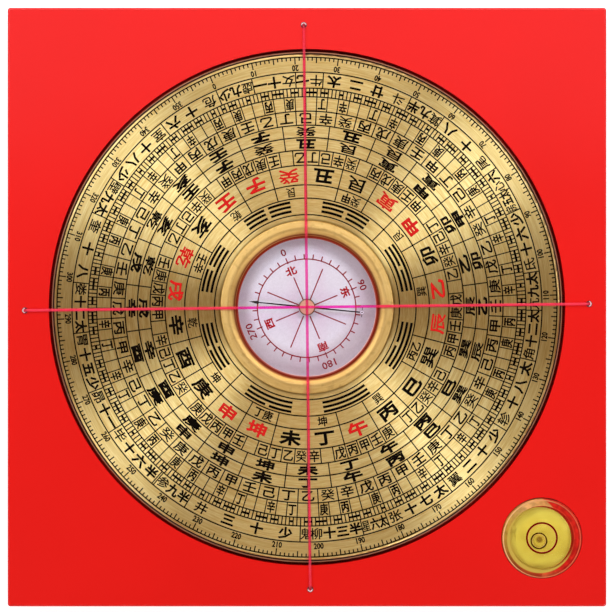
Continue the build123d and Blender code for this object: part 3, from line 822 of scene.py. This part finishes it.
# %% The card's print
ROSE_RADIUS = 12.4
ROSE_LINE = 0.3
ROSE_ASIDE = (-0.08, -0.28, 0.0)
TICK_LENGTH, QUARTER_INWARD = 1.25, 0.35
RAY_START, RAY_ENDS = 2.1, (8.4, 10.7)
DIRECTION, CARD_NUMBER, CARD_NUMBERS_AT = (2.5, 2.05, 0.045), (1.12, 1.75, 0.02), 15.15
rose = bmesh.new()
ring(rose, ROSE_RADIUS, ROSE_LINE, CARD_TOP, steps=120)
for i in range(36):
    inward = 0.0 if i % 9 else QUARTER_INWARD
    tick(rose, 10 * i, ROSE_RADIUS - inward, ROSE_RADIUS + TICK_LENGTH, ROSE_LINE, CARD_TOP)
for i in range(8):
    tick(rose, 45 * i, RAY_START, RAY_ENDS[i % 2], ROSE_LINE, CARD_TOP)
bmesh.ops.translate(rose, vec=ROSE_ASIDE, verts=rose.verts)
piece("card_print_rose", rose, [plum_ink], "dial")

directions = bmesh.new()
numbers = bmesh.new()
for name, degree, reach in (("北", 0, 10.1), ("东", 90, 10.5), ("南", 180, 10.5), ("西", 270, 10.1)):
    stamp(directions, letter(name, *DIRECTION), degree, reach, CARD_TOP, outward=True)
    number = letter(str(degree), *CARD_NUMBER, digits=True)
    stamp(numbers, number, degree, CARD_NUMBERS_AT, CARD_TOP, outward=True)
for print_made in (directions, numbers):
    bmesh.ops.translate(print_made, vec=ROSE_ASIDE, verts=print_made.verts)
piece("card_print_directions", directions, [crimson_ink], "dial")
piece("card_print_numbers", numbers, [plum_ink], "dial")

# %% [markdown]
# The level. Seen through its clear roof, the spirit fills the vial, and the bubble shows as a clear patch
# with a dark outline, where its steep sides throw the light away. The CAD solids keep the bubble clear
# of the liquid, so that it can run. Here the spirit is made again a little fuller, with a soft edge,
# and the bubble as a lens in three zones: a dark rim, a bright line inside it and a clear middle.

# %% The level's sizes
VIAL = extent(*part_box("level_vial"))
LIQUID = extent(*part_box("level_liquid"))
BUBBLE = extent(*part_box("level_bubble"))
LEVEL = (VIAL.x, VIAL.y)
print("level at", [round(v, 2) for v in LEVEL], "liquid radius", round(LIQUID.radius, 2))
print("bubble at", round(BUBBLE.x, 2), round(BUBBLE.y, 2), "top", round(BUBBLE.top, 2))

# %% Spirit
spirit_finish, tree, mm_place = new_material("tinted_level_spirit")
distance, offset = axis_distance(tree, mm_place, LEVEL)
depth = zones(
    tree, distance, (0.0, "#D6C650"), (3.0, "#D8CC56"), (6.5, "#E0D65E"), (7.6, "#DECC5A"),
    (LIQUID.radius, "#D8B44C"),
)
# The moulded dot below shows in its middle, and at the upper right the red pocket behind its edge.
DOT_AT, BORE_AT = (VIAL.x - 0.45, VIAL.y - 0.55), (VIAL.x - 0.4, VIAL.y - 0.3)
dotted = round_mark(tree, mm_place, DOT_AT, depth, "#6E4418", (0.15, 0.78), (0.5, 0.84), (1.05, 0.0))
edged = round_mark(tree, mm_place, BORE_AT, dotted, "#B8281A", (7.85, 0.0), (8.0, 1.0))
swirl = add(tree, "TexNoise", {"Vector": mm_place, "Scale": 1 / 4.5, "Detail": 1.0})
cloud = add(tree, "ValToRGB", {"Fac": swirl}, stops=((0.35, (0.86, 0.81, 0.68, 1.0)), (0.65, 1.0)))
clouded = add(tree, "Mix", {"Factor": 1.0, "A": edged, "B": cloud}, **MULTIPLY)
# The near side is a little darker, because the spirit passes on less of the light that enters there.
up_board = add(tree, "SeparateXYZ", {"Vector": offset}).outputs["Y"]
dimmed = zones(
    tree, up_board, (-LIQUID.radius, (0.74, 0.72, 0.64, 1.0)), (0.4 * LIQUID.radius, 1.0),
    (LIQUID.radius, 1.0),
)
spirit_tone = add(tree, "Mix", {"Factor": 1.0, "A": clouded, "B": dimmed}, **MULTIPLY)
spirit = add(tree, "BsdfPrincipled", {"Base Color": spirit_tone, "Roughness": 0.12, "IOR": 1.36})
add(tree, "OutputMaterial", {"Surface": spirit})

LIQUID_TOP = BUBBLE.top - 0.32
bm = turned(
    [
        (0.0, LIQUID.bottom + 0.05), (LIQUID.radius - 0.06, LIQUID.bottom + 0.05),
        (LIQUID.radius - 0.02, LIQUID.bottom + 0.1), (LIQUID.radius - 0.02, LIQUID_TOP - 0.05),
        (LIQUID.radius - 0.07, LIQUID_TOP), (0.0, LIQUID_TOP),
    ],
    LEVEL,
)
spirit_piece = piece("level_spirit_fill", bm, [spirit_finish], "board")
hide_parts("level_liquid")

# %% Bubble
# The dark rim is painted shade and the bright line a painted highlight, where the bubble's sides bend the
# light.
rim_shade = grained("bubble_dark_edge", "#3A2200", "#442A02", 0.3, 0.7, specular=0.0)
rim_light = grained("bubble_bright_line", "#E4BC58", "#ECC664", 0.3, 0.3)
clear_middle, tree, _ = new_material("bubble_clear_middle")
thin_air = add(tree, "BsdfTransparent", {"Color": "#FFFEFA"})
skin = add(tree, "BsdfGlossy", {"Roughness": 0.05})
lens = add(tree, "MixShader", {0: mirrored_share(tree, 0.02), 1: thin_air, 2: skin})
add(tree, "OutputMaterial", {"Surface": lens})

DARK_RIM, BRIGHT_LINE = 0.34, 0.44
# The lens from below to its top: how far each point lies inside the bubble's radius and below its top.
LENS = (
    (BUBBLE.radius, 0.26), (0.46, 0.26), (0.1, 0.22), (0.0, 0.14), (DARK_RIM, 0.04), (0.46, 0.0),
    (BUBBLE.radius, 0.0),
)
profile = [(BUBBLE.radius - inward, BUBBLE.top - down) for inward, down in LENS]
bm = turned(profile, (BUBBLE.x, BUBBLE.y), steps=64)
for face in bm.faces:
    middle = face.calc_center_median()
    inward = BUBBLE.radius - hypot(middle.x - BUBBLE.x, middle.y - BUBBLE.y)
    face.material_index = 0 if inward > BRIGHT_LINE else 2
    if DARK_RIM < inward <= BRIGHT_LINE and middle.z > BUBBLE.top - 0.1:
        face.material_index = 1
bubble_piece = piece(
    "level_bubble_lens", bm, [clear_middle, rim_light, rim_shade], "bubble"
)
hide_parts("level_bubble")

# %% [markdown]
# The vial is clear acrylic, cemented into its pocket. From above, the eye looks down through the wall
# onto the cement and the red pocket behind it: golden at the left and top, with a painted peach
# highlight towards the top, deep red at the right and bottom. A thin painted highlight also marks the
# top edge. So the acrylic's faces are clear where they are polished, and show the cement or the red
# where they touch the board. Rays from the lamps pass straight through the clear part, because Cycles
# would otherwise leave the liquid in shadow.

# %% Acrylic vial
vial_finish, tree, mm_place = new_material("cemented_cast_acrylic")
distance, offset = axis_distance(tree, mm_place, LEVEL)
parts = add(tree, "SeparateXYZ", {"Vector": offset})
side = add(tree, "Math", {0: parts.outputs["X"], 1: parts.outputs["Y"]}, operation="ARCTAN2")
clock = add(tree, "MapRange", {"Value": side, "From Min": -pi, "From Max": pi})
# Golden cement shows on the left and at the top. It is painted paler towards the top, as a highlight,
# and browner towards the bottom.
cement_gold_and_highlight = add(tree, "ValToRGB", {"Fac": clock}, stops=(
    (0.0, "#A05A2C"), (0.12, "#7C4A1C"), (0.3, "#B8923A"), (0.38, "#B4904A"), (0.42, "#DCAA68"),
    (0.5, "#CC9452"),
))
gold_fade = zones(
    tree, distance, (8.4, 1.0), (9.5, 1.0), (9.8, (1.0, 0.84, 0.75, 1.0)), (10.0, (1.15, 0.62, 0.5, 1.0))
)
gold = add(tree, "Mix", {"Factor": 1.0, "A": cement_gold_and_highlight, "B": gold_fade}, **MULTIPLY)
# The red pocket shows on the right and below, from a sharp start just past twelve o'clock.
pocket = zones(
    tree, distance, (8.0, "#D63A24"), (8.4, "#BC1E14"), (9.0, "#CE2418"), (9.4, "#A81A12"),
    (9.8, "#CE3220"), (10.0, "#E03220"),
)
WEDGE_SLANT, WALL_MIDDLE = 0.03, 9.4
wedge = add(tree, "Math", {0: distance, 1: WEDGE_SLANT, 2: clock}, operation="MULTIPLY_ADD")
wedge = add(tree, "Math", {0: wedge, 1: WALL_MIDDLE * WEDGE_SLANT}, operation="SUBTRACT")
red_share = add(tree, "ValToRGB", {"Fac": wedge}, stops=(
    (0.0, 0.7), (0.1, 0.35), (0.2, 0.0), (0.51, 0.0), (0.52, 1.0), (0.9, 1.0), (1.0, 0.7),
))
wall = add(tree, "Mix", {"Factor": red_share, "A": gold, "B": pocket}, **BLEND)
# The cement was stirred in by hand, so it has soft streaks about 1.5 mm long.
streak = add(tree, "TexNoise", {"Vector": mm_place, "Scale": 1 / 1.5, "Detail": 2.0})
streaked = add(tree, "ValToRGB", {"Fac": streak}, stops=((0.35, 0.72), (0.65, 1.12)))
band = add(tree, "Mix", {"Factor": 1.0, "A": wall, "B": streaked}, **MULTIPLY)
# Above the level the wall throws a short shadow into the gap round it.
gap_low = add(
    tree, "ValToRGB", {"Fac": clock}, stops=((0.36, 0.0), (0.44, 0.85), (0.54, 0.85), (0.6, 0.0))
)
gap_edge = zones(tree, distance, (9.8, 0.0), (9.9, 1.0))
gap = add(tree, "Math", {0: gap_low, 1: gap_edge}, operation="MULTIPLY")
band = add(tree, "Mix", {"Factor": gap, "A": band, "B": "#581808"}, **BLEND)
# The bore's foot shows through the wall as a golden crescent, lower left of the bore itself.
FOOT_AT = (VIAL.x - 0.45, VIAL.y - 0.5)
band = round_mark(tree, mm_place, FOOT_AT, band, "#BEA646", (8.15, 1.0), (8.4, 0.0))
# A thin peach line is a painted highlight on the vial's top edge, dimmer where the red pocket is behind
# it.
edge_highlight_tint = add(tree, "ValToRGB", {"Fac": clock}, stops=(
    (0.0, "#E8905C"), (0.1, "#F0B478"), (0.3, "#ECBC80"), (0.5, "#DC9C64"), (0.58, "#C86440"),
    (0.75, "#DC5C40"), (1.0, "#E8905C"),
))
EDGE_HIGHLIGHT_AT = (VIAL.x, VIAL.y - 0.22)
edge_highlight_rows = (9.46, 0.0), (9.57, 0.95), (9.74, 0.95), (9.86, 0.0)
band = round_mark(tree, mm_place, EDGE_HIGHLIGHT_AT, band, edge_highlight_tint, *edge_highlight_rows)
cement = add(tree, "BsdfPrincipled", {
    "Base Color": band, "Roughness": 0.4, "Specular IOR Level": 0.05, "Coat Weight": 0.08,
    "Coat Roughness": 0.05,
})
acrylic = add(tree, "BsdfPrincipled", {
    "Base Color": "#FDFBF4", "Roughness": 0.03, "IOR": 1.49, "Specular IOR Level": 0.25,
    "Transmission Weight": 1.0,
})
CLEAR_RADIUS = 8.02
held = add(tree, "Math", {0: distance, 1: CLEAR_RADIUS}, operation="GREATER_THAN")
ray = add(tree, "LightPath").outputs
let_through = add(tree, "BsdfTransparent", {"Color": "#FBF8EE"})
lit = add(tree, "MixShader", {0: ray["Is Shadow Ray"], 1: acrylic, 2: let_through})
vial_shader = add(tree, "MixShader", {0: held, 1: lit, 2: cement})
add(tree, "OutputMaterial", {"Surface": vial_shader})
wear("level_vial", vial_finish)

# %% The target ring
target_finish, tree, mm_place = new_material("dark_red_groove_paint")
distance, _ = axis_distance(tree, mm_place, LEVEL)
tone = zones(tree, distance, (3.5, "#D88A6C"), (3.56, "#8A2418"), (3.6, "#6E0006"), (4.0, "#680004"))
filling = add(tree, "BsdfPrincipled", {"Base Color": tone, "Roughness": 0.6, "Specular IOR Level": 0.0})
add(tree, "OutputMaterial", {"Surface": filling})
wear("level_target_ring", target_finish)
print("vial dressed, top at", round(VIAL.top, 2))

# %% [markdown]
# The studio. The floor is plain white, and so is the air near the horizon. Overhead it is dimmer, so
# that the brass has something darker to mirror between the lamps. The rays on the dial show where the
# photographer's lamps stood: a strong one towards each corner, and weaker ones on all four sides. A wide
# one nearly overhead lays a faint veil over the brass. The floor is a hair below the board, and clear
# when it is seen from below, so that the underside shows.

# %% Floor and surroundings
FLOOR_HALF = 3.0
FLOOR_DROP = 0.05 * MM
bm = bmesh.new()
bmesh.ops.create_grid(bm, x_segments=8, y_segments=8, size=FLOOR_HALF)
bmesh.ops.translate(bm, vec=(0, 0, -FLOOR_DROP), verts=bm.verts)
floor_mesh = bpy.data.meshes.new("studio_floor")
bm.to_mesh(floor_mesh)
bm.free()
floor = bpy.data.objects.new("studio_floor", floor_mesh)
scene.collection.objects.link(floor)

floor_finish, tree, mm_place = new_material("matt_white_floor")
paint = add(tree, "BsdfDiffuse", {"Color": colour(0.5)})
# Near the object the lamps add to the floor's own white. Further out they fade, so its own white grows.
out, _ = axis_distance(tree, mm_place)
own_white = zones(tree, out, (250.0, 0.78), (900.0, 1.0))
glow = add(tree, "Emission", {"Color": own_white})
ray = add(tree, "LightPath").outputs
seen = add(tree, "Math", {0: ray["Is Camera Ray"], 1: ray["Is Glossy Ray"]}, operation="MAXIMUM")
seen = add(tree, "Math", {0: seen, 1: ray["Is Transmission Ray"]}, operation="MAXIMUM")
bounce = add(tree, "Emission", {"Color": "#FFFFFF", "Strength": 0.3})
lift = add(tree, "MixShader", {0: seen, 1: bounce, 2: glow})
white = add(tree, "AddShader", {0: paint, 1: lift})
below = add(tree, "NewGeometry").outputs["Backfacing"]
open_air = add(tree, "BsdfTransparent")
one_sided = add(tree, "MixShader", {0: below, 1: white, 2: open_air})
add(tree, "OutputMaterial", {"Surface": one_sided})
floor_mesh.materials.append(floor_finish)

world = bpy.data.worlds.new("studio_air")
scene.world = world
world.use_nodes = True
tree = world.node_tree
tree.nodes.clear()
direction = add(tree, "TexCoord").outputs["Generated"]
up = add(tree, "SeparateXYZ", {"Vector": direction})
air = add(tree, "ValToRGB", {"Fac": up.outputs["Z"]}, stops=(
    (0.0, 1.0), (0.12, 0.85), (0.4, (0.225, 0.115, 0.044, 1.0)), (1.0, (0.157, 0.074, 0.022, 1.0))
))
overhead = add(tree, "Background", {"Color": air})
plain = add(tree, "Background", {"Color": "#FFFFFF"})
ray = add(tree, "LightPath").outputs
backdrop = add(tree, "MixShader", {0: ray["Is Camera Ray"], 1: overhead, 2: plain})
add(tree, "OutputWorld", {"Surface": backdrop})

# %% The lamps
WHITE = (1.0, 1.0, 1.14)
WARM = (1.0, 0.87, 0.68)
MILD = (1.0, 0.9, 0.85)
COOL = (1.0, 0.96, 1.5)
LAMPS = (
    # name, bearing clockwise from the picture's top and angle from overhead in degrees, distance in m,
    # power in W, width and length in m, colour
    ("key_far_left", -54.5, 36, 1.1, 2.9, 0.35, 0.34, WHITE),
    ("key_far_right", 50, 36, 1.1, 2.55, 0.32, 0.34, WHITE),
    ("key_near_right", 139.5, 36, 1.1, 1.8, 0.16, 0.34, WHITE),
    ("key_near_left", 233, 36, 1.1, 1.68, 0.27, 0.34, WHITE),
    ("side_right", 77, 36, 1.1, 0.3, 0.35, 0.3, WHITE),
    ("side_left", 281, 36, 1.1, 0.22, 0.3, 0.3, WHITE),
    ("fill_far", 0, 45, 0.45, 0.5, 0.3, 0.15, WARM),
    ("soft_far", 0, 36, 1.1, 1.0, 0.6, 0.3, COOL),
    ("soft_near", 180, 36, 1.1, 0.92, 0.6, 0.3, MILD),
    ("veil_far", 0, 12, 1.1, 0.45, 1.0, 0.28, WHITE),
)
AIM = Vector((0, 0, BOARD_TOP))
for name, bearing, tilt, distance, power, width, length, tint in LAMPS:
    lamp = bpy.data.lights.new(name, "AREA")
    lamp.shape = "RECTANGLE"
    lamp.size = width
    lamp.size_y = length
    lamp.energy = power
    lamp.color = tint
    holder = bpy.data.objects.new(name, lamp)
    scene.collection.objects.link(holder)
    turn, lean = radians(bearing), radians(tilt)
    towards = Vector((sin(turn) * sin(lean), cos(turn) * sin(lean), cos(lean)))
    holder.location = AIM + towards * distance
    holder.rotation_euler = towards.to_track_quat("Z", "Y").to_euler()
    holder.visible_camera = False
print("lamps:", len(LAMPS), "total power in W:", sum(row[4] for row in LAMPS))

# %% [markdown]
# The colours are judged as they are written, so the picture uses the Standard view.

# %% Finish
scene.view_settings.view_transform = "Standard"
